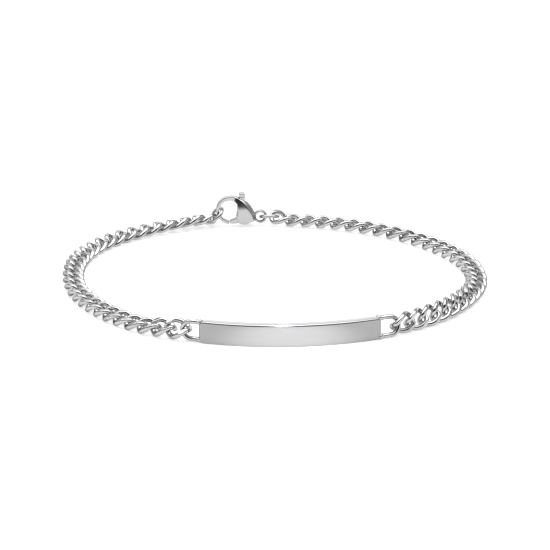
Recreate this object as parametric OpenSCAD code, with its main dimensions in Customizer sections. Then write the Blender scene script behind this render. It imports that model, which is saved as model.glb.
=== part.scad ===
// Identity bracelet: a curved bar, two runs of curb chain, two rings and a lobster clasp.
// Units are millimetres, +Z is up and the bracelet lies on the plane z = 0, bar to the front.

/* [Loop] */
// Length of the curve through the middle of the metal, all the way round
loop_length = 197.8; // [188:0.2:208]

/* [Plate] */
// Length of the bar along its curve
plate_length = 28.4; // [26:0.1:30]
// Height of the bar as it stands on its edge
plate_height = 3.6; // [3.4:0.1:4.2]
// Thickness of the bar
plate_thickness = 1.5; // [1.3:0.1:1.8]
// Radius of the bar's four corners seen from the front
plate_corner = 0.8; // [0.4:0.1:1.2]
// Radius of the bar's long edges
plate_edge = 0.3; // [0.1:0.05:0.5]
// Wire of the loop soldered to each end of the bar
end_loop_wire = 0.75; // [0.7:0.05:0.8]

/* [Chain] */
// Width of one link
link_width = 3.6; // [3.5:0.05:3.7]
// Length of one link
link_length = 4.66; // [4.6:0.02:4.7]
// Wire of the links
link_wire = 0.82; // [0.76:0.01:0.83]
// Height of a link after grinding its two wide faces flat
link_height = 1.75; // [1.7:0.05:1.9]
// Twist of each end of a link away from its middle
link_twist = 50; // [46:1:52]
// Step from link to link that the runs are divided by
link_pitch = 2.65; // [2.6:0.01:2.7]

/* [Rings] */
// Wire of the two round rings
ring_wire = 0.62; // [0.55:0.01:0.64]
// Outer diameter of the two round rings
ring_outer = 3.64; // [3.58:0.01:3.66]

/* [Clasp] */
// Width across the cheeks of the clasp
clasp_width = 2.3; // [2.2:0.05:2.6]
// Width of the slot that the lever moves in
slot_width = 0.95; // [0.9:0.01:1]
// Width of the lever
lever_width = 0.8; // [0.7:0.01:0.82]
// Width of the thumb knob above the cheeks
knob_width = 1.3; // [1:0.05:1.5]
// Diameter of the pin that the lever turns on
pin_diameter = 0.7; // [0.6:0.05:0.75]

/* [Hidden] */
$fn = 48;

// Plan of the loop as it lies: distance of the curve from the middle, for a loop of plan_length
plan = [
    // angle, radius
    [-180, 33.21],
    [-150, 31.75],
    [-120, 30.23],
    [-90, 29.35],
    [-60, 30.55],
    [-30, 32.28],
    [0, 33.06],
    [30, 31.53],
    [60, 29.70],
    [90, 29.49],
    [120, 31.27],
    [150, 33.80],
];
plan_length = 197.83;
plan_step = 360 / len(plan);
loop_scale = loop_length / plan_length;

// Middle of the outline, taken to the origin
outline_middle = [-0.11, 0.65] * loop_scale;

function plan_radius(i) = loop_scale * plan[(i + len(plan)) % len(plan)][1];

// Smooth radius at an angle, through the four rows around it
function radius_at(angle) =
    let (
        along = (angle + 180) / plan_step,
        row = floor(along),
        f = along - row,
        a = plan_radius(row - 1),
        b = plan_radius(row),
        c = plan_radius(row + 1),
        d = plan_radius(row + 2)
    )
    b + f * ((c - a) + f * ((2 * a - 5 * b + 4 * c - d) + f * (3 * b - 3 * c + d - a))) / 2;

function point_at_angle(angle) = radius_at(angle) * [cos(angle), sin(angle)] - outline_middle;

// Arc length from the left extreme, counterclockwise seen from above: rows of length, angle
angle_step = 2;
arc_points = [for (angle = [-180:angle_step:180]) point_at_angle(angle)];
arc_rows = [
    for (
        i = 0, run = 0;
        i < len(arc_points);
        i = i + 1,
        run = run + (i < len(arc_points) ? norm(arc_points[i] - arc_points[i - 1]) : 0)
    )
    [run, -180 + i * angle_step]
];
loop_arc = arc_rows[len(arc_rows) - 1][0];

function wrap(arc) = arc - loop_arc * floor(arc / loop_arc);
function point_at(arc) = point_at_angle(lookup(wrap(arc), arc_rows));
function heading_at(arc) =
    let (d = point_at(arc + 0.5) - point_at(arc - 0.5))
    atan2(d.y, d.x);

// Where the plate and the clasp sit on the arc
plate_middle = 51.4 * loop_scale;
plate_left = plate_middle - plate_length / 2;
plate_right = plate_middle + plate_length / 2;
clasp_middle = loop_arc - 45.05 * loop_scale;

// A frame on the curve: x along it, y inwards, z up, then rolled (upper edge inwards) and pitched
function along_axis(heading, pitch) =
    [cos(heading) * cos(pitch), sin(heading) * cos(pitch), -sin(pitch)];
function up_axis(heading, pitch) =
    [cos(heading) * sin(pitch), sin(heading) * sin(pitch), cos(pitch)];
function in_axis(heading) = [-sin(heading), cos(heading), 0];
function frame(origin, heading, roll, pitch) =
    let (i = in_axis(heading), u = up_axis(heading, pitch))
    [
        origin,
        along_axis(heading, pitch),
        i * cos(roll) + u * sin(roll),
        u * cos(roll) - i * sin(roll)
    ];
function from_frame(f, p) = f[0] + p.x * f[1] + p.y * f[2] + p.z * f[3];

// Links

link_sections = 16;
wire_sides = 6;
// The hexagon that carries about as much metal as the round wire
wire_corner = link_wire / 2 * 1.04;
centre_length = link_length - link_wire;
centre_width = link_width - link_wire;
// 2 would be an ellipse, more gives straighter sides and fuller ends
link_fullness = 2.2;

function full(value) = sign(value) * pow(abs(value), 2 / link_fullness);

// A point on the link's centre line: an oval whose ends are twisted opposite ways
function link_point(turn) =
    let (
        x = centre_length / 2 * full(cos(turn)),
        w = centre_width / 2 * full(sin(turn)),
        twist = -link_twist * x / (centre_length / 2)
    )
    [x, w * cos(twist), w * sin(twist)];

function unit(v) = v / norm(v);
function limited(v, most) = max(-most, min(most, v));

// Corner of one wire section, with the wide faces ground to the link's height
function wire_point(turn, side) =
    let (
        middle = link_point(turn),
        ahead = unit(link_point(turn + 1) - link_point(turn - 1)),
        twist = -link_twist * middle.x / (centre_length / 2),
        flat = [0, -sin(twist), cos(twist)],
        up = unit(flat - (flat * ahead) * ahead),
        across = cross(ahead, up),
        p = middle + wire_corner * (cos(side) * across + sin(side) * up)
    )
    [p.x, p.y, limited(p.z, link_height / 2)];

link_shape = [
    for (s = [0:link_sections - 1])
    for (k = [0:wire_sides - 1])
    wire_point((s + 0.5) * 360 / link_sections, k * 360 / wire_sides)
];
link_faces = [
    for (s = [0:link_sections - 1])
    for (k = [0:wire_sides - 1])
    let (
        s2 = (s + 1) % link_sections,
        k2 = (k + 1) % wire_sides,
        a = s * wire_sides + k,
        b = s2 * wire_sides + k,
        c = s2 * wire_sides + k2,
        d = s * wire_sides + k2
    )
    each [[a, b, c], [a, c, d]]
];

// Height of a rolled link's middle above the ground that it rests on
function resting_height(roll) =
    max([for (p = link_shape) -p.y * sin(roll) - p.z * cos(roll)]);

// How far each run leans, upper edge inwards, by distance from the plate's end
left_lean = [
    // distance, lean
    [3.8, 42],
    [6.4, 20],
    [9.0, 6],
    [11.5, 3],
    [17, 6],
    [27, 4],
    [40, -17],
    [53, -2],
    [58, -1],
    [63.1, 3.5],
    [68.3, 12],
    [73.4, 22],
    [78.6, 32],
];
right_lean = [
    // distance, lean
    [4.1, 98],
    [6.8, 87],
    [9.5, 76],
    [12.2, 65.5],
    [14.9, 55],
    [17.6, 45],
    [20.3, 35.5],
    [23, 26.5],
    [25.7, 18],
    [28.4, 10.5],
    [31.1, 4.5],
    [33.8, 0],
    [37, -4],
    [44.5, -6],
    [55.4, 3],
    [69, 6],
    [80, 5],
];

// First links beyond the plate's ends, and the last links beside the clasp's middle
first_left_link = 3.7;
first_right_link = 4.13;
hook_link = 6.24;
eye_link = 7.15;

// Both runs have the same number of links, spread evenly over the room of each
left_room = plate_left - first_left_link + (loop_arc - clasp_middle) - hook_link;
right_room = clasp_middle - eye_link - plate_right - first_right_link;
run_steps = round((left_room + right_room) / 2 / link_pitch);

// Links that sit a little off the even run, by their number from the plate
left_moves = [
    // link, along, inwards, up, roll, pitch, turn
    [0, 0, 0, 0.08, 0, 0, 0],
    [1, 0, 0, 0.12, 0, 0, 0],
    [2, 0, 0, 0.07, 0, 0, 0],
    [run_steps - 1, 0, 0, 0.05, 0, 0, 0],
    [run_steps, 0.31, -0.33, -0.07, -6.9, -4.1, 4.8],
];
right_moves = [
    // link, along, inwards, up, roll, pitch, turn
    [0, -0.01, -0.16, 0.06, 1.5, 0.3, 3.6],
    [1, 0, -0.03, 0, 0.7, 0, 0.8],
    [run_steps, 0.07, -0.15, 0.28, -9.9, -9, -3],
];

function move_of(link, moves) =
    let (rows = [for (row = moves) if (row[0] == link) row])
    len(rows) > 0 ? rows[0] : [link, 0, 0, 0, 0, 0, 0];

// Frames of all links of a run, from its first link on: plate's end, direction along the arc
function run_frames(plate_end, way, first, room, leans, moves) =
    let (step = room / run_steps)
    [
        for (i = [0:run_steps])
        let (
            move = move_of(i, moves),
            away = first + i * step,
            arc = plate_end + way * away + move[1],
            roll = lookup(away, leans),
            before = resting_height(lookup(away - step, leans)),
            after = resting_height(lookup(away + step, leans)),
            pitch = -atan(way * (after - before) / (2 * step)),
            middle = point_at(arc),
            heading = heading_at(arc),
            height = resting_height(roll) + move[3]
        )
        frame(
            [middle.x, middle.y, height] + move[2] * in_axis(heading),
            heading + move[6],
            roll + move[4],
            pitch + move[5]
        )
    ];

left_frames = run_frames(plate_left, -1, first_left_link, left_room, left_lean, left_moves);
right_frames = run_frames(plate_right, 1, first_right_link, right_room, right_lean, right_moves);

module links(frames) {
    points_each = len(link_shape);
    polyhedron(
        points = [for (f = frames) for (p = link_shape) from_frame(f, p)],
        faces = [
            for (i = [0:len(frames) - 1])
            for (face = link_faces)
            [for (corner = face) corner + i * points_each]
        ],
        convexity = 10
    );
}

module chain_left() {
    color("silver")
    links(left_frames);
}

module chain_right() {
    color("silver")
    links(right_frames);
}

// Plate

left_reach = 3.2;
right_reach = 3.6;
// The right loop was soldered on a little askew, its upper leg further in
right_askew = 15;
loop_height = 3.6;
loop_bend = (loop_height - end_loop_wire) / 2;

// Middle of the circle through three points
function circle_middle(a, b, c) =
    let (
        d = 2 * (a.x * (b.y - c.y) + b.x * (c.y - a.y) + c.x * (a.y - b.y)),
        x = a * a * (b.y - c.y) + b * b * (c.y - a.y) + c * c * (a.y - b.y),
        y = a * a * (c.x - b.x) + b * b * (a.x - c.x) + c * c * (b.x - a.x)
    )
    [x, y] / d;

left_end = point_at(plate_left);
right_end = point_at(plate_right);
bend_middle = circle_middle(left_end, point_at(plate_middle), right_end);
bend_radius = norm(left_end - bend_middle);
left_angle = atan2(left_end.y - bend_middle.y, left_end.x - bend_middle.x);
right_angle = atan2(right_end.y - bend_middle.y, right_end.x - bend_middle.x);
plate_heading = (left_angle + right_angle) / 2 + 90;
chord = norm(right_end - left_end);

// Section of the bar with its four long edges rounded
module bar_section() {
    inner = [plate_thickness / 2 - plate_edge, plate_height / 2 - plate_edge];
    translate([bend_radius, plate_height / 2])
    union() {
        square([2 * inner.x, plate_height], center = true);
        square([plate_thickness, 2 * inner.y], center = true);
        for (x = [-1, 1])
        for (y = [-1, 1])
        translate([x * inner.x, y * inner.y])
        circle(r = plate_edge);
    }
}

// Front view of the bar with its corners rounded
module bar_outline() {
    half = [chord / 2 - plate_corner, plate_height / 2 - plate_corner];
    union() {
        square([2 * half.x, plate_height], center = true);
        square([chord, 2 * half.y], center = true);
        for (x = [-1, 1])
        for (y = [-1, 1])
        translate([x * half.x, y * half.y])
        circle(r = plate_corner);
    }
}

module bar() {
    more = 3;
    intersection() {
        translate([bend_middle.x, bend_middle.y, 0])
        rotate([0, 0, left_angle - more])
        rotate_extrude(angle = right_angle - left_angle + 2 * more, $fn = 180)
        bar_section();

        translate([(left_end.x + right_end.x) / 2, (left_end.y + right_end.y) / 2, plate_height / 2])
        rotate([0, 0, plate_heading])
        rotate([90, 0, 0])
        linear_extrude(height = 8, center = true)
        bar_outline();
    }
}

// D-shaped wire loop that stands out along x from a plate end at the origin
module end_loop(reach, askew) {
    sunk = 0.5;
    bend_x = reach - end_loop_wire / 2 - loop_bend;
    translate([0, 0, plate_height / 2])
    rotate([-askew, 0, 0]) {
        for (z = [-1, 1])
        translate([-sunk, 0, z * loop_bend])
        rotate([0, 90, 0])
        cylinder(d = end_loop_wire, h = bend_x + sunk);

        translate([bend_x, 0, 0])
        rotate([90, 0, 0])
        rotate([0, 0, -90])
        rotate_extrude(angle = 180)
        translate([loop_bend, 0])
        circle(d = end_loop_wire);
    }
}

module id_plate() {
    color("gainsboro")
    union() {
        bar();
        translate([left_end.x, left_end.y, 0])
        rotate([0, 0, left_angle - 90])
        end_loop(left_reach, 0);
        translate([right_end.x, right_end.y, 0])
        rotate([0, 0, right_angle + 90])
        end_loop(right_reach, right_askew);
    }
}

// Clasp, drawn with x from the hook to the eye, y away from the wearer's hand, z up

// It stands a little above the ground and a little inside the curve
clasp_lift = 0.45;
clasp_inset = 0.35;
clasp_half = 4.45;
clasp_point = point_at(clasp_middle);
clasp_chord = point_at(clasp_middle - clasp_half) - point_at(clasp_middle + clasp_half);
clasp_heading = atan2(clasp_chord.y, clasp_chord.x);

module at_clasp() {
    translate([clasp_point.x, clasp_point.y, clasp_lift])
    rotate([0, 0, clasp_heading])
    translate([-clasp_half, -clasp_inset, 0])
    children();
}

// Extrudes a drawing of x and z to a width along y
module slab(width) {
    rotate([90, 0, 0])
    linear_extrude(height = width, center = true)
    children();
}

pivot = [5.05, 1.35];
eye_middle = [7.68, 1.21];
eye_outer = 1.18;
eye_hole = 0.8;
eye_width = 0.75;
hook_width = 1;
hook_tip_x = 2.16;

// Hook arm: what lies between its outer and inner circles, given by middle and radius
hook_outer = [2.42, 2.55, 2.52];
hook_inner = [2.26, 2.48, 1.86];

module hook_outline() {
    difference() {
        translate([hook_outer.x, hook_outer.y])
        circle(r = hook_outer.z, $fn = 96);
        translate([hook_inner.x, hook_inner.y])
        circle(r = hook_inner.z, $fn = 96);
        // Open side, from the tip round to the root
        translate([hook_tip_x, -1])
        square([4, 2.6]);
        translate([3.7, -1])
        square([3, 8]);
    }
}

// Side view of the cheeks, from the hook root over the back to the belly
cheek_outline = [
    // x, z
    [3.28, 4.97],
    [3.8, 4.77],
    [4.25, 4.58],
    [4.78, 4.22],
    [5.13, 3.94],
    [5.48, 3.66],
    [6.0, 3.1],
    [6.36, 2.64],
    [6.6, 2.25],
    [7.1, 2.1],
    [7.1, 0.45],
    [6.67, 0.6],
    [6.36, 0.55],
    [5.83, 0.3],
    [5.3, 0.09],
    [4.69, 0.02],
    [4.16, 0.12],
    [3.8, 0.28],
    [3.45, 1.23],
    [3.54, 1.65],
    [3.67, 2.07],
    [3.63, 3.0],
    [3.54, 3.57],
    [3.37, 3.94],
    [3.1, 4.2],
];

// Space that the lever swings through: knob's way at the top, gate's way at the left
slot_outline = [
    // x, z
    [3.84, 6.5],
    [3.84, 4.2],
    [3.9, 2.6],
    [3.0, 2.6],
    [3.0, -0.5],
    [5.2, -0.5],
    [6.05, 0.7],
    [6.15, 1.7],
    [5.87, 2.7],
    [6.6, 3.6],
    [7.2, 6.5],
];

// The cheeks are fullest at mid height and fall away to the back and belly
cheek_round = 8;
cheek_level = 1.9;

module cheek_limits() {
    intersection_for(side = [-1, 1])
    translate([-2, side * (cheek_round - clasp_width / 2), cheek_level])
    rotate([0, 90, 0])
    cylinder(r = cheek_round, h = 14, $fn = 180);
}

// Their back edges are bevelled, so the arm seems to run on over the back to the eye
back_middle = [2.2, 0.4];
back_radius = 4.68;
back_bevel = 0.65;

module back_limits() {
    half = clasp_width / 2;
    translate([back_middle.x, 0, back_middle.y])
    rotate([90, 0, 0])
    rotate_extrude($fn = 180)
    polygon([
        [0, -half],
        [back_radius - back_bevel, -half],
        [back_radius, back_bevel - half],
        [back_radius, half - back_bevel],
        [back_radius - back_bevel, half],
        [0, half],
    ]);
}

module clasp_body() {
    color("silver")
    at_clasp()
    difference() {
        union() {
            slab(hook_width)
            hook_outline();
            intersection() {
                slab(clasp_width)
                polygon(cheek_outline);
                cheek_limits();
                back_limits();
            }
            translate([eye_middle.x, 0, eye_middle.y])
            rotate([90, 0, 0])
            cylinder(r = eye_outer, h = eye_width, center = true);
        }
        translate([eye_middle.x, 0, eye_middle.y])
        rotate([90, 0, 0])
        cylinder(r = eye_hole, h = 2 * clasp_width, center = true);
        slab(slot_width)
        polygon(slot_outline);
        translate([pivot.x, 0, pivot.y])
        rotate([90, 0, 0])
        cylinder(d = pin_diameter, h = 2 * clasp_width, center = true);
    }
}

// Running fit of the lever on its pin, all round
pin_play = 0.05;

// Side view of the lever: gate to the left, arm up to the knob
lever_outline = [
    // x, z
    [2.28, 0.62],
    [2.28, 0.16],
    [2.45, 0.07],
    [2.9, 0.03],
    [3.8, 0.1],
    [4.7, 0.3],
    [5.5, 0.6],
    [5.85, 1.1],
    [5.8, 1.7],
    [5.3, 2.4],
    [4.95, 3.4],
    [4.95, 5.0],
    [3.95, 5.0],
    [3.95, 4.2],
    [4.15, 2.6],
    [4.1, 1.75],
    [3.45, 1.14],
    [2.4, 0.74],
];
knob_outline = [
    // x, z
    [3.97, 4.95],
    [4.93, 4.95],
    [4.97, 5.2],
    [4.93, 5.52],
    [4.8, 5.63],
    [4.1, 5.63],
    [3.97, 5.52],
    [3.93, 5.2],
];

module clasp_lever() {
    color("silver")
    at_clasp()
    difference() {
        union() {
            slab(lever_width)
            polygon(lever_outline);
            slab(knob_width)
            polygon(knob_outline);
        }
        translate([pivot.x, 0, pivot.y])
        rotate([90, 0, 0])
        cylinder(d = pin_diameter + 2 * pin_play, h = 2 * clasp_width, center = true);
    }
}

module clasp_pin() {
    // Its ends are filed flush with the cheeks, which are a little narrower at its height
    pin_length = clasp_width - 0.08;
    color("gray")
    at_clasp()
    translate([pivot.x, 0, pivot.y])
    rotate([90, 0, 0])
    cylinder(d = pin_diameter, h = pin_length, center = true);
}

// Rings

// Places in the clasp's frame: middle, then lean and turn of the ring's plane
hook_ring_middle = [-0.13, 0.16, 1.63];
hook_ring_lean = 45.8;
hook_ring_turn = 8;
eye_ring_middle = [9.27, 0.06, 1.1];
eye_ring_lean = 91.3;
eye_ring_turn = -19.7;

// The ring's plane holds the upright, which leans towards the eye, and turns about it
module ring(middle, lean, turn) {
    translate(middle)
    rotate([0, lean, 0])
    rotate([0, 0, turn])
    rotate([0, 90, 0])
    rotate_extrude()
    translate([(ring_outer - ring_wire) / 2, 0])
    circle(d = ring_wire);
}

module hook_ring() {
    color("silver")
    at_clasp()
    ring(hook_ring_middle, hook_ring_lean, hook_ring_turn);
}

module eye_ring() {
    color("silver")
    at_clasp()
    ring(eye_ring_middle, eye_ring_lean, eye_ring_turn);
}

// Which sub-part to draw, or all

id_plate();
chain_left();
chain_right();
hook_ring();
eye_ring();
clasp_body();
clasp_lever();
clasp_pin();
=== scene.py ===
import bisect
import math
import random

import bpy
import numpy as np
from mathutils import Matrix, Vector


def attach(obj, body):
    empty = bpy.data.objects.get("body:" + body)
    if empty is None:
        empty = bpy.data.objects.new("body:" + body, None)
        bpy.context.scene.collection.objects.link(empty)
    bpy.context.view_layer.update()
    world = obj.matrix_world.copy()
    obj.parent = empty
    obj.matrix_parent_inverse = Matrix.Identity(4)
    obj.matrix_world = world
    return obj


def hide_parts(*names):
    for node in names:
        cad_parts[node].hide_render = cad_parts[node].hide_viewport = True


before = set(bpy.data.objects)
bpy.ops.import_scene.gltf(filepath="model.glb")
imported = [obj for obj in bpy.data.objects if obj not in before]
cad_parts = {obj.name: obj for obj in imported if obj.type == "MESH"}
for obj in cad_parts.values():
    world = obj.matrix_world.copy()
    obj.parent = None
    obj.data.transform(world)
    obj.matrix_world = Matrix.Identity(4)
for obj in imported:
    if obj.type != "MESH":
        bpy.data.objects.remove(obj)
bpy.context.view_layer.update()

mm = 0.001
random.seed(11)

# The line through the middle of the metal as the bracelet lies: angle and distance from the middle, mm
loopLine = {
    "length": 197.8,
    "rows": [(-180, 33.21), (-150, 31.75), (-120, 30.23), (-90, 29.35), (-60, 30.55), (-30, 32.28),
             (0, 33.06), (30, 31.53), (60, 29.70), (90, 29.49), (120, 31.27), (150, 33.80)],
    "rowsLength": 197.83,
    "middle": (-0.11, 0.65),
    "plateAt": 51.4,
    "plateLength": 28.4,
    "claspFromEnd": 45.05,
}
loopScale = loopLine["length"] / loopLine["rowsLength"]


def loopPoint(angle):
    rows = loopLine["rows"]
    along = (angle + 180) / 30
    first = math.floor(along)
    f = along - first
    a, b, c, d = [rows[(first + k) % len(rows)][1] * loopScale for k in (-1, 0, 1, 2)]
    r = b + f * ((c - a) + f * ((2 * a - 5 * b + 4 * c - d) + f * (3 * b - 3 * c + d - a))) / 2
    mx, my = loopLine["middle"]
    turn = math.radians(angle)
    return Vector((r * math.cos(turn) - mx * loopScale, r * math.sin(turn) - my * loopScale, 0))


arcAngles = list(range(-180, 181, 2))
arcRuns = [0.0]
for before, after in zip(arcAngles, arcAngles[1:]):
    arcRuns.append(arcRuns[-1] + (loopPoint(after) - loopPoint(before)).length)
loopArc = arcRuns[-1]


def pointAt(arc):
    arc = arc % loopArc
    k = min(max(bisect.bisect_right(arcRuns, arc) - 1, 0), len(arcRuns) - 2)
    f = (arc - arcRuns[k]) / (arcRuns[k + 1] - arcRuns[k])
    return loopPoint(arcAngles[k] + f * (arcAngles[k + 1] - arcAngles[k]))


def headingAt(arc):
    step = pointAt(arc + 0.5) - pointAt(arc - 0.5)
    return math.atan2(step.y, step.x)


def between(x, rows):
    return float(np.interp(x, [row[0] for row in rows], [row[1] for row in rows]))


plateLeft = loopLine["plateAt"] * loopScale - loopLine["plateLength"] / 2
plateRight = loopLine["plateAt"] * loopScale + loopLine["plateLength"] / 2
claspArc = loopArc - loopLine["claspFromEnd"] * loopScale

# Steel finishes: edge is how bright the steel stays when seen at a slant,
# grain is the size of its fine unevenness in mm
finishes = {
    "mirrorWire": {"colour": (0.50, 0.50, 0.505), "edge": 0.3, "rough": 0.08, "roughSpread": 0.07,
                   "grain": 0.35, "bump": 0.05, "stretch": (1, 1, 1), "linkTone": 0.06, "seamDark": 0.45},
    # the bar's steel colour is set much darker than the wire and the cast steel: painted shade that stands in
    # for a dimmer reflection, while its stretched grain is a real buffed finish
    "buffedBarPaintedShade": {"colour": (0.335, 0.335, 0.34), "edge": 0.8, "rough": 0.09, "roughSpread": 0.04,
                  "grain": 0.11, "bump": 0.035, "stretch": (0.06, 0.06, 1), "linkTone": 0.0, "seamDark": 0.0},
    "castSteel": {"colour": (0.47, 0.47, 0.475), "edge": 0.4, "rough": 0.12, "roughSpread": 0.08,
                  "grain": 0.5, "bump": 0.09, "stretch": (1, 1, 1), "linkTone": 0.0, "seamDark": 0.0},
    "rivetSteel": {"colour": (0.47, 0.47, 0.475), "edge": 0.3, "rough": 0.17, "roughSpread": 0.08,
                   "grain": 0.08, "bump": 0.1, "stretch": (1, 1, 1), "linkTone": 0.0, "seamDark": 0.0},
}


# Shared by all finishes: size of the haze patches against the grain, how much duller a seam is, bump in mm
surface = {"patches": 0.12, "seamRough": 0.2, "bumpDepth": 0.01}


def steel(name):
    look = finishes[name]
    mat = bpy.data.materials.new(name)
    mat.use_nodes = True
    nodes, links = mat.node_tree.nodes, mat.node_tree.links
    nodes.clear()
    out = nodes.new("ShaderNodeOutputMaterial")
    skin = nodes.new("ShaderNodeBsdfPrincipled")
    links.new(skin.outputs[0], out.inputs[0])
    skin.inputs["Metallic"].default_value = 1.0
    skin.inputs["Specular Tint"].default_value = (look["edge"], look["edge"], look["edge"], 1)
    place = nodes.new("ShaderNodeTexCoord")
    sized = nodes.new("ShaderNodeMapping")
    sized.inputs["Scale"].default_value = [s / (look["grain"] * mm) for s in look["stretch"]]
    links.new(place.outputs["Object"], sized.inputs["Vector"])
    fine = nodes.new("ShaderNodeTexNoise")
    fine.inputs["Scale"].default_value = 1.0
    fine.inputs["Detail"].default_value = 4.0
    links.new(sized.outputs[0], fine.inputs["Vector"])
    broad = nodes.new("ShaderNodeTexNoise")
    broad.inputs["Scale"].default_value = surface["patches"]
    broad.inputs["Detail"].default_value = 2.0
    links.new(sized.outputs[0], broad.inputs["Vector"])

    # handling haze: smooth patches and slightly duller ones
    haze = nodes.new("ShaderNodeMapRange")
    haze.inputs["From Min"].default_value = 0.3
    haze.inputs["From Max"].default_value = 0.75
    haze.inputs["To Min"].default_value = look["rough"]
    haze.inputs["To Max"].default_value = look["rough"] + look["roughSpread"]
    links.new(broad.outputs[0], haze.inputs["Value"])
    seam = nodes.new("ShaderNodeAttribute")
    seam.attribute_name = "seam"
    duller = nodes.new("ShaderNodeMath")
    duller.operation = "MULTIPLY_ADD"
    duller.inputs[1].default_value = surface["seamRough"]
    links.new(seam.outputs["Fac"], duller.inputs[0])
    links.new(haze.outputs[0], duller.inputs[2])
    links.new(duller.outputs[0], skin.inputs["Roughness"])

    # each link is a shade lighter or darker, with a faint dark line where its wire was closed
    tone = nodes.new("ShaderNodeAttribute")
    tone.attribute_name = "linkTone"
    shade = nodes.new("ShaderNodeMath")
    shade.operation = "MULTIPLY_ADD"
    shade.inputs[1].default_value = look["linkTone"]
    shade.inputs[2].default_value = 1.0
    links.new(tone.outputs["Fac"], shade.inputs[0])
    darker = nodes.new("ShaderNodeMath")
    darker.operation = "MULTIPLY_ADD"
    darker.inputs[1].default_value = -look["seamDark"]
    links.new(seam.outputs["Fac"], darker.inputs[0])
    links.new(shade.outputs[0], darker.inputs[2])
    colour = nodes.new("ShaderNodeVectorMath")
    colour.operation = "SCALE"
    colour.inputs[0].default_value = look["colour"]
    links.new(darker.outputs[0], colour.inputs["Scale"])
    links.new(colour.outputs[0], skin.inputs["Base Color"])

    bump = nodes.new("ShaderNodeBump")
    bump.inputs["Strength"].default_value = look["bump"]
    bump.inputs["Distance"].default_value = surface["bumpDepth"] * mm
    links.new(fine.outputs[0], bump.inputs["Height"])
    links.new(bump.outputs[0], skin.inputs["Normal"])
    return mat


materials = {name: steel(name) for name in finishes}


# A named piece from points in mm, which rides on its body
def makePiece(name, points, faces, material, body, node, values=None):
    mesh = bpy.data.meshes.new(name)
    mesh.from_pydata([Vector(p) * mm for p in points], [], [tuple(f) for f in faces])
    mesh.update()
    for key, numbers in (values or {}).items():
        layer = mesh.attributes.new(key, "FLOAT", "POINT")
        layer.data.foreach_set("value", np.asarray(numbers, dtype=np.float32))
    mesh.shade_smooth()
    piece = bpy.data.objects.new(name, mesh)
    bpy.context.scene.collection.objects.link(piece)
    mesh.materials.append(materials[material])
    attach(piece, body)
    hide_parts(node)
    return piece


# Faces of a closed or open tube whose rings all have the same number of points
def tubeFaces(rings, sides, closed, start=0):
    faces = []
    for r in range(rings if closed else rings - 1):
        a, b = start + r * sides, start + (r + 1) % rings * sides
        faces += [(a + k, b + k, b + (k + 1) % sides, a + (k + 1) % sides) for k in range(sides)]
    if not closed:
        faces.append(tuple(start + k for k in range(sides)))
        faces.append(tuple(start + (rings - 1) * sides + k for k in reversed(range(sides))))
    return faces


# Bar: a flat strip bent to the wrist, edges broken and corners rounded
bar = {"height": 3.6, "thick": 1.5, "corner": 0.8, "edge": 0.3, "columns": 150, "cornerSteps": 7}


def circleMiddle(a, b, c):
    d = 2 * (a.x * (b.y - c.y) + b.x * (c.y - a.y) + c.x * (a.y - b.y))
    aa, bb, cc = a.x ** 2 + a.y ** 2, b.x ** 2 + b.y ** 2, c.x ** 2 + c.y ** 2
    x = aa * (b.y - c.y) + bb * (c.y - a.y) + cc * (a.y - b.y)
    y = aa * (c.x - b.x) + bb * (a.x - c.x) + cc * (b.x - a.x)
    return Vector((x / d, y / d, 0))


leftEnd, rightEnd = pointAt(plateLeft), pointAt(plateRight)
bendMiddle = circleMiddle(leftEnd, pointAt(loopLine["plateAt"] * loopScale), rightEnd)
bendRadius = (leftEnd - bendMiddle).length
leftAngle = math.atan2(leftEnd.y - bendMiddle.y, leftEnd.x - bendMiddle.x)
rightAngle = math.atan2(rightEnd.y - bendMiddle.y, rightEnd.x - bendMiddle.x)


def roundedBox(halfX, halfZ, radius, steps):
    pts = []
    for cx, cz, first in ((1, 1, 0), (-1, 1, 90), (-1, -1, 180), (1, -1, 270)):
        for k in range(steps + 1):
            a = math.radians(first + 90 * k / steps)
            pts.append((cx * (halfX - radius) + radius * math.cos(a),
                        cz * (halfZ - radius) + radius * math.sin(a)))
    return pts


def drop(over, radius):
    over = min(max(over, 0.0), radius)
    return radius - math.sqrt(radius * radius - over * over)


def makeBar():
    half = bendRadius * (rightAngle - leftAngle) / 2
    mid = (leftAngle + rightAngle) / 2
    # columns are close together where the corners turn
    spots = [half * math.sin(math.pi / 2 * math.sin(math.pi / 2 * (2 * k / bar["columns"] - 1)))
             for k in range(bar["columns"] + 1)]
    points = []
    for s in spots:
        tall = bar["height"] / 2 - drop(abs(s) - (half - bar["corner"]), bar["corner"])
        thin = bar["thick"] / 2 - drop(abs(s) - (half - bar["edge"]), bar["edge"])
        a = mid + s / bendRadius
        for x, z in roundedBox(thin, tall, bar["edge"], bar["cornerSteps"]):
            r = bendRadius + x
            points.append((bendMiddle.x + r * math.cos(a), bendMiddle.y + r * math.sin(a),
                           bar["height"] / 2 + z))
    sides = 4 * (bar["cornerSteps"] + 1)
    faces = tubeFaces(len(spots), sides, False)
    # the bar gets the steel with the darker colour, painted shade on its reflection
    return makePiece("plateBar", points, faces, "buffedBarPaintedShade", "bracelet", "id_plate")


# Tube along a path in mm, with its own radius at every station
def sweep(path, radii, sides, closed, up):
    points = []
    count = len(path)
    for k, p in enumerate(path):
        ahead = path[(k + 1) % count] if closed or k < count - 1 else p
        behind = path[k - 1] if closed or k > 0 else p
        along = (ahead - behind).normalized()
        across = along.cross(up).normalized()
        over = across.cross(along)
        for j in range(sides):
            a = 2 * math.pi * j / sides
            points.append(p + radii[k] * (across * math.cos(a) + over * math.sin(a)))
    return points


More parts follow.
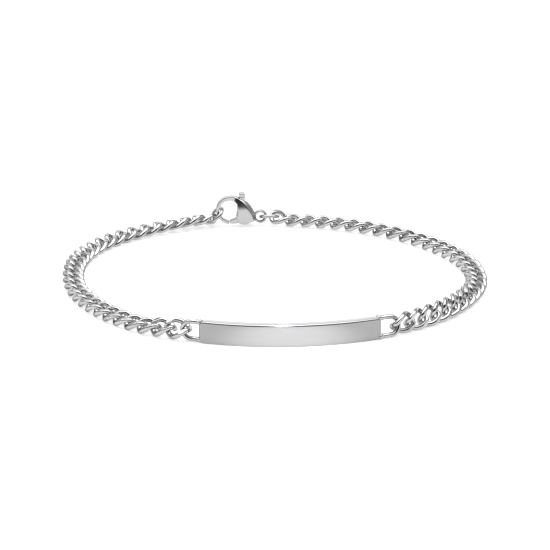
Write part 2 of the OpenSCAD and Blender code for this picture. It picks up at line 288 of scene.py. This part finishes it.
# D-shaped loops of round wire soldered to the bar's ends, the right one longer and a little askew
endLoop = {"wire": 0.75, "high": 3.6, "leftReach": 3.2, "rightReach": 3.6, "rightAskew": 15,
           "inBar": 0.3, "legSteps": 24, "bendStep": 4, "sides": 28,
           "solder": 0.3, "solderRun": 0.22, "seamAt": 0.45, "seamWide": 0.08, "seamShade": 0.5}


def makeEndLoop(name, end, heading, reach, askew):
    bend = (endLoop["high"] - endLoop["wire"]) / 2
    bendX = reach - endLoop["wire"] / 2 - bend
    inBar, legSteps = endLoop["inBar"], endLoop["legSteps"]
    flat = [(-inBar + (bendX + inBar) * k / legSteps, bend) for k in range(legSteps)]
    flat += [(bendX + bend * math.cos(math.radians(a)), bend * math.sin(math.radians(a)))
             for a in range(90, -91, -endLoop["bendStep"])]
    flat += [(x, -z) for x, z in reversed(flat[:legSteps])]
    out = Vector((math.cos(heading), math.sin(heading), 0))
    rise = Matrix.Rotation(math.radians(-askew), 3, out) @ Vector((0, 0, 1))
    middle = end + Vector((0, 0, bar["height"] / 2))
    path = [middle + out * x + rise * z for x, z in flat]
    # the solder runs up the wire at the bar, and is dressed flush with the bar's long edges
    radii = [endLoop["wire"] / 2 * (1 + endLoop["solder"] * math.exp(-max(x, 0) / endLoop["solderRun"]))
             for x, z in flat]
    points = sweep(path, radii, endLoop["sides"], False, rise.cross(out))
    for point in points:
        point.z = min(max(point.z, 0), bar["height"])
    seamAt, seamWide = endLoop["seamAt"], endLoop["seamWide"]
    seam = [endLoop["seamShade"] * math.exp(-((max(x, 0) - seamAt) / seamWide) ** 2)
            for x, z in flat for k in range(endLoop["sides"])]
    return makePiece(name, points, tubeFaces(len(path), endLoop["sides"], False), "mirrorWire", "bracelet",
                     "id_plate", {"seam": seam})


makeBar()
makeEndLoop("plateLoopLeft", leftEnd, leftAngle - math.pi / 2, endLoop["leftReach"], 0)
makeEndLoop("plateLoopRight", rightEnd, rightAngle + math.pi / 2, endLoop["rightReach"],
            endLoop["rightAskew"])
print("bar and its loops made")

# Curb links: ovals of round wire, their ends twisted opposite ways, the wide faces ground flat
curb = {"width": 3.6, "length": 4.66, "wire": 0.82, "high": 1.75, "twist": 50, "full": 2.2,
        "turns": 72, "sides": 24, "pitch": 2.65, "flatEdge": 0.012,
        "seamSpread": 0.15, "seamWide": 0.025, "seamShade": 0.6}
# The links lean with their upper edge inwards: distance from the bar's end, lean.
# Moves are for links that sit off the even run, by number, -1 the last:
# along, inwards, up, roll, pitch, turn
runs = {
    "chainLeft": {"node": "chain_left", "start": plateLeft, "way": -1, "first": 3.7, "last": 6.24,
                  "lean": [(3.8, 42), (6.4, 20), (9.0, 6), (11.5, 3), (17, 6), (27, 4), (40, -17), (53, -2),
                           (58, -1), (63.1, 3.5), (68.3, 12), (73.4, 22), (78.6, 32)],
                  "moves": {0: (0, 0, 0.08, 0, 0, 0), 1: (0, 0, 0.12, 0, 0, 0), 2: (0, 0, 0.07, 0, 0, 0),
                            27: (0, 0, 0.05, 0, 0, 0), -1: (0.31, -0.33, -0.07, -6.9, -4.1, 4.8)}},
    "chainRight": {"node": "chain_right", "start": plateRight, "way": 1, "first": 4.13, "last": 7.15,
                   "lean": [(4.1, 98), (6.8, 87), (9.5, 76), (12.2, 65.5), (14.9, 55), (17.6, 45),
                            (20.3, 35.5), (23, 26.5), (25.7, 18), (28.4, 10.5), (31.1, 4.5), (33.8, 0),
                            (37, -4), (44.5, -6), (55.4, 3), (69, 6), (80, 5)],
                   "moves": {0: (-0.01, -0.16, 0.06, 1.5, 0.3, 3.6), 1: (0, -0.03, 0, 0.7, 0, 0.8),
                             -1: (0.07, -0.15, 0.28, -9.9, -9, -3)}},
}


def linkShape():
    turns, sides = curb["turns"], curb["sides"]
    lc, wc, r = curb["length"] - curb["wire"], curb["width"] - curb["wire"], curb["wire"] / 2

    def centre(t):
        c, s = np.cos(t), np.sin(t)
        x = lc / 2 * np.sign(c) * np.abs(c) ** (2 / curb["full"])
        w = wc / 2 * np.sign(s) * np.abs(s) ** (2 / curb["full"])
        twist = -math.radians(curb["twist"]) * x / (lc / 2)
        return np.stack([x, w * np.cos(twist), w * np.sin(twist)], -1), twist

    t = (np.arange(turns) + 0.5) * 2 * np.pi / turns
    middle, twist = centre(t)
    ahead = centre(t + 0.01)[0] - centre(t - 0.01)[0]
    ahead /= np.linalg.norm(ahead, axis=1)[:, None]
    flat = np.stack([0 * twist, -np.sin(twist), np.cos(twist)], -1)
    up = flat - (flat * ahead).sum(1)[:, None] * ahead
    up /= np.linalg.norm(up, axis=1)[:, None]
    across = np.cross(ahead, up)
    a = np.arange(sides) * 2 * np.pi / sides
    shape = middle[:, None] + r * (np.cos(a)[None, :, None] * across[:, None]
                                   + np.sin(a)[None, :, None] * up[:, None])
    return shape.reshape(-1, 3), np.repeat(t, sides)


def ground(shape, high):
    # grinding leaves a flat with a slightly broken edge
    soft, most = curb["flatEdge"], high / 2
    z = np.abs(shape[:, 2])
    cut = most - soft * np.logaddexp(0, (most - z) / soft)
    # only the outer part of the wire is touched
    touched = z > most * 0.6
    out = shape.copy()
    out[:, 2] = np.sign(shape[:, 2]) * np.where(touched, cut, z)
    return out


roughLink, linkTurn = linkShape()
linkForm = ground(roughLink, curb["high"])


def restingHeight(lean):
    a = math.radians(lean)
    return float(np.max(-linkForm[:, 1] * math.sin(a) - linkForm[:, 2] * math.cos(a)))


def linkAxes(heading, lean, pitch):
    h, r, p = math.radians(heading), math.radians(lean), math.radians(pitch)
    along = np.array([math.cos(h) * math.cos(p), math.sin(h) * math.cos(p), -math.sin(p)])
    rise = np.array([math.cos(h) * math.sin(p), math.sin(h) * math.sin(p), math.cos(p)])
    inward = np.array([-math.sin(h), math.cos(h), 0])
    return along, inward * math.cos(r) + rise * math.sin(r), rise * math.cos(r) - inward * math.sin(r)


rooms = {
    "chainLeft": plateLeft - runs["chainLeft"]["first"] + (loopArc - claspArc) - runs["chainLeft"]["last"],
    "chainRight": claspArc - runs["chainRight"]["last"] - plateRight - runs["chainRight"]["first"],
}
runSteps = round(sum(rooms.values()) / 2 / curb["pitch"])


def makeRun(name):
    run = runs[name]
    step = rooms[name] / runSteps
    points, faces, tones, seams = [], [], [], []
    for k in range(runSteps + 1):
        move = run["moves"].get(-1 if k == runSteps else k, (0, 0, 0, 0, 0, 0))
        away = run["first"] + k * step
        arc = run["start"] + run["way"] * away + move[0]
        lean = between(away, run["lean"])
        before, after = [restingHeight(between(away + s * step, run["lean"])) for s in (-1, 1)]
        pitch = -math.degrees(math.atan(run["way"] * (after - before) / (2 * step)))
        heading = math.degrees(headingAt(arc))
        along, inward, up = linkAxes(heading + move[5], lean + move[3], pitch + move[4])
        straightIn = linkAxes(heading, 0, 0)[1]
        middle = np.array(pointAt(arc)) + straightIn * move[1]
        middle[2] = restingHeight(lean) + move[2]
        points.append(middle + linkForm[:, :1] * along + linkForm[:, 1:2] * inward + linkForm[:, 2:] * up)
        faces += tubeFaces(curb["turns"], curb["sides"], True, k * len(linkForm))
        tones += [random.uniform(-1, 1)] * len(linkForm)
        # the wire was closed on one long side
        spread = curb["seamSpread"]
        shut = math.pi / 2 * random.choice((1, 3)) + random.uniform(-spread, spread)
        seams += list(curb["seamShade"] * np.exp(-((linkTurn - shut) / curb["seamWide"]) ** 2))
    return makePiece(name, np.concatenate(points), faces, "mirrorWire", "bracelet", run["node"],
                     {"linkTone": tones, "seam": seams})


makeRun("chainLeft")
makeRun("chainRight")
print("two runs of", runSteps + 1, "links made")

# Clasp's own directions: x from the hook to the eye, y away from the loop's middle, z up
clasp = {"lift": 0.45, "inset": 0.35, "half": 4.45}
chordLine = pointAt(claspArc - clasp["half"]) - pointAt(claspArc + clasp["half"])
claspTurn = math.atan2(chordLine.y, chordLine.x)
claspPlace = (Matrix.Translation(pointAt(claspArc) + Vector((0, 0, clasp["lift"])))
              @ Matrix.Rotation(claspTurn, 4, "Z")
              @ Matrix.Translation((-clasp["half"], -clasp["inset"], 0)))

# Jump rings: middle in the clasp's directions, then lean and turn of the ring's plane, and where it is cut
ringWire = {"wire": 0.62, "wide": 3.64, "turns": 120, "sides": 28, "gap": 0.02}
rings = {
    "hookRing": {"node": "hook_ring", "middle": (-0.13, 0.16, 1.63), "lean": 45.8, "turn": 8, "cut": 40},
    "eyeRing": {"node": "eye_ring", "middle": (9.27, 0.06, 1.1), "lean": 91.3, "turn": -19.7, "cut": 110},
}


def makeRing(name):
    ring = rings[name]
    r = (ringWire["wide"] - ringWire["wire"]) / 2
    place = (claspPlace @ Matrix.Translation(ring["middle"])
             @ Matrix.Rotation(math.radians(ring["lean"]), 4, "Y")
             @ Matrix.Rotation(math.radians(ring["turn"]), 4, "Z")
             @ Matrix.Rotation(math.pi / 2, 4, "Y"))
    first = math.radians(ring["cut"])
    whole = 2 * math.pi - ringWire["gap"] / r
    path = []
    for k in range(ringWire["turns"] + 1):
        a = first + whole * k / ringWire["turns"]
        path.append(place @ Vector((r * math.cos(a), r * math.sin(a), 0)))
    axis = (place.to_3x3() @ Vector((0, 0, 1))).normalized()
    points = sweep(path, [ringWire["wire"] / 2] * len(path), ringWire["sides"], False, axis)
    faces = tubeFaces(len(path), ringWire["sides"], False)
    return makePiece(name, points, faces, "mirrorWire", "bracelet", ring["node"])


makeRing("hookRing")
makeRing("eyeRing")


# A cast piece keeps its outline, with edges rounded over as tumbling and buffing leave them.
# The pin's ends are buffed flush with the cheeks, so they are melted into the body's skin
casts = {
    "claspBody": {"node": "clasp_body", "body": "bracelet", "melted": ["clasp_body", "clasp_pin"],
                  "voxel": 0.038, "rounding": 48, "swell": 0.03},
    "claspLever": {"node": "clasp_lever", "body": "lever", "melted": ["clasp_lever"],
                   "voxel": 0.035, "rounding": 70, "swell": 0.01},
}


def makeCast(name):
    cast = casts[name]
    points, faces = [], []
    for node in cast["melted"]:
        source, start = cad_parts[node].data, len(points)
        points += [vertex.co / mm for vertex in source.vertices]
        faces += [[start + k for k in face.vertices] for face in source.polygons]
    mesh = bpy.data.meshes.new(name)
    mesh.from_pydata(points, [], faces)
    mesh.update()
    work = bpy.data.objects.new(name + "Work", mesh)
    bpy.context.scene.collection.objects.link(work)
    grid = work.modifiers.new("grid", "REMESH")
    grid.mode = "VOXEL"
    grid.voxel_size = cast["voxel"]
    soft = work.modifiers.new("soft", "SMOOTH")
    soft.factor = 0.5
    soft.iterations = cast["rounding"]
    full = work.modifiers.new("full", "DISPLACE")
    full.mid_level = 0
    full.strength = cast["swell"]
    bpy.context.view_layer.update()
    shaped = bpy.data.meshes.new_from_object(work.evaluated_get(bpy.context.evaluated_depsgraph_get()))
    bpy.data.objects.remove(work)
    shaped.name = name
    shaped.transform(Matrix.Scale(mm, 4))
    shaped.materials.clear()
    shaped.materials.append(materials["castSteel"])
    shaped.shade_smooth()
    piece = bpy.data.objects.new(name, shaped)
    bpy.context.scene.collection.objects.link(piece)
    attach(piece, cast["body"])
    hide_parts(cast["node"])
    print(name, "has", len(shaped.polygons), "faces")
    return piece


for name in casts:
    makeCast(name)


# Pin, its ends nearly flat with a broken edge: share of the radius, distance from the end
pin = {"x": 5.05, "z": 1.35, "wide": 0.66, "long": 2.0, "sides": 40,
       "head": [(0.5, 0.01), (0.8, 0.03), (0.94, 0.06), (1.0, 0.12)]}


def makePin():
    half = pin["long"] / 2
    profile = [(pin["wide"] / 2 * share, half - away) for share, away in pin["head"]]
    rows = [(radius, -y) for radius, y in profile] + profile[::-1]
    points = []
    for radius, y in rows:
        for k in range(pin["sides"]):
            a = 2 * math.pi * k / pin["sides"]
            points.append(claspPlace @ Vector((pin["x"] + radius * math.cos(a), y,
                                               pin["z"] + radius * math.sin(a))))
    return makePiece("claspPin", points, tubeFaces(len(rows), pin["sides"], False), "rivetSteel", "bracelet",
                     "clasp_pin")


makePin()
print("rings and clasp made")

# A white table lit softly from below too, a strip of light overhead, a bright screen low at the back,
# a dark room on the camera's side.
# Sky rows: angle up from the back horizon and over towards the camera, brightness
studio = {
    "table": {"half": 1.5, "drop": 0.00002, "grey": 0.5, "rough": 0.7, "glow": 0.58},
    "sky": [(0, 2.0), (10, 2.3), (24, 2.3), (34, 0.6), (64, 0.5), (76, 3.0), (112, 3.0),
            (122, 0.2), (145, 0.05), (180, 0.05)],
    "sides": {"from": 0.6, "to": 0.9, "level": 0.45},
    "boxes": {
        "overhead": {"at": (0.0, 0.12, 0.5), "size": (0.3, 0.3), "power": 0.7},
        "leftFill": {"at": (-0.5, -0.1, 0.3), "size": (0.3, 0.3), "power": 0.15},
    },
    "pool": {"at": (0.02, -0.26, 0.42), "aim": (0.003, -0.037, 0.0), "cone": 3.7, "size": 0.003,
             "power": 16.5},
}


def makeTable():
    top = studio["table"]
    mesh = bpy.data.meshes.new("table")
    s = top["half"]
    mesh.from_pydata([(-s, -s, 0), (s, -s, 0), (s, s, 0), (-s, s, 0)], [], [(0, 1, 2, 3)])
    table = bpy.data.objects.new("table", mesh)
    bpy.context.scene.collection.objects.link(table)
    table.location.z = -top["drop"]
    mat = bpy.data.materials.new("whiteCard")
    mat.use_nodes = True
    skin = mat.node_tree.nodes["Principled BSDF"]
    skin.inputs["Base Color"].default_value = (top["grey"], top["grey"], top["grey"], 1)
    skin.inputs["Roughness"].default_value = top["rough"]
    skin.inputs["Emission Color"].default_value = (1, 1, 1, 1)
    skin.inputs["Emission Strength"].default_value = top["glow"]
    mesh.materials.append(mat)


def aimed(thing, place, target):
    bpy.context.scene.collection.objects.link(thing)
    thing.location = place
    thing.rotation_mode = "QUATERNION"
    thing.rotation_quaternion = (Vector(place) - Vector(target)).to_track_quat("Z", "Y")


def addSoftbox(name):
    box = studio["boxes"][name]
    light = bpy.data.lights.new(name, "AREA")
    light.shape = "RECTANGLE"
    light.size, light.size_y = box["size"]
    light.energy = box["power"]
    aimed(bpy.data.objects.new(name, light), box["at"], (0, 0, 0))


# A soft pool of light on the table in front of the bar, which the bar mirrors
def addPool():
    pool = studio["pool"]
    light = bpy.data.lights.new("pool", "SPOT")
    light.spot_size = math.radians(pool["cone"])
    light.spot_blend = 1.0
    light.shadow_soft_size = pool["size"]
    light.energy = pool["power"]
    aimed(bpy.data.objects.new("pool", light), pool["at"], pool["aim"])


def makeSky():
    world = bpy.data.worlds.new("studio")
    bpy.context.scene.world = world
    world.use_nodes = True
    nodes, links = world.node_tree.nodes, world.node_tree.links
    nodes.clear()
    out = nodes.new("ShaderNodeOutputWorld")
    glow = nodes.new("ShaderNodeBackground")
    place = nodes.new("ShaderNodeTexCoord")
    parts = nodes.new("ShaderNodeSeparateXYZ")
    links.new(place.outputs["Generated"], parts.inputs[0])
    turn = nodes.new("ShaderNodeMath")
    turn.operation = "ARCTAN2"
    links.new(parts.outputs["Z"], turn.inputs[0])
    links.new(parts.outputs["Y"], turn.inputs[1])
    share = nodes.new("ShaderNodeMath")
    share.operation = "DIVIDE"
    share.inputs[1].default_value = math.pi
    links.new(turn.outputs[0], share.inputs[0])
    brightest = max(level for angle, level in studio["sky"])
    ramp = nodes.new("ShaderNodeValToRGB")
    stops = ramp.color_ramp.elements
    while len(stops) < len(studio["sky"]):
        stops.new(0.5)
    for stop, (angle, level) in zip(stops, studio["sky"]):
        stop.position = angle / 180
        stop.color = (level / brightest, level / brightest, level / brightest, 1)
    links.new(share.outputs[0], ramp.inputs[0])
    level = nodes.new("ShaderNodeMath")
    level.operation = "MULTIPLY"
    level.inputs[1].default_value = brightest
    links.new(ramp.outputs[0], level.inputs[0])

    # the strips end, so the far left and right are an even grey
    width = nodes.new("ShaderNodeMath")
    width.operation = "ABSOLUTE"
    links.new(parts.outputs["X"], width.inputs[0])
    aside = nodes.new("ShaderNodeMapRange")
    aside.interpolation_type = "SMOOTHSTEP"
    aside.inputs["From Min"].default_value = studio["sides"]["from"]
    aside.inputs["From Max"].default_value = studio["sides"]["to"]
    links.new(width.outputs[0], aside.inputs["Value"])
    blend = nodes.new("ShaderNodeMix")
    links.new(aside.outputs[0], blend.inputs[0])
    links.new(level.outputs[0], blend.inputs[2])
    blend.inputs[3].default_value = studio["sides"]["level"]
    links.new(blend.outputs[0], glow.inputs["Strength"])
    glow.inputs["Color"].default_value = (1, 1, 1, 1)
    links.new(glow.outputs[0], out.inputs[0])


makeTable()
addSoftbox("overhead")
addSoftbox("leftFill")
addPool()
makeSky()

# Long lens from the front, 19.6 degrees above the table
shot = {"distance": 0.4, "height": 19.57, "lens": 159.04, "film": 36, "near": 0.01,
        "aim": (0.00011, -0.00065, 0.001095)}
cameraData = bpy.data.cameras.new("camera")
cameraData.lens = shot["lens"]
cameraData.sensor_width = shot["film"]
cameraData.clip_start = shot["near"]
camera = bpy.data.objects.new("camera", cameraData)
bpy.context.scene.collection.objects.link(camera)
tilt = math.radians(shot["height"])
back = Vector((0, -math.cos(tilt), math.sin(tilt)))
camera.location = Vector(shot["aim"]) + back * shot["distance"]
camera.rotation_mode = "QUATERNION"
camera.rotation_quaternion = (-back).to_track_quat("-Z", "Y")
bpy.context.scene.camera = camera
bpy.context.scene.view_settings.view_transform = "Standard"

print("bracelet, table, lights and camera ready")
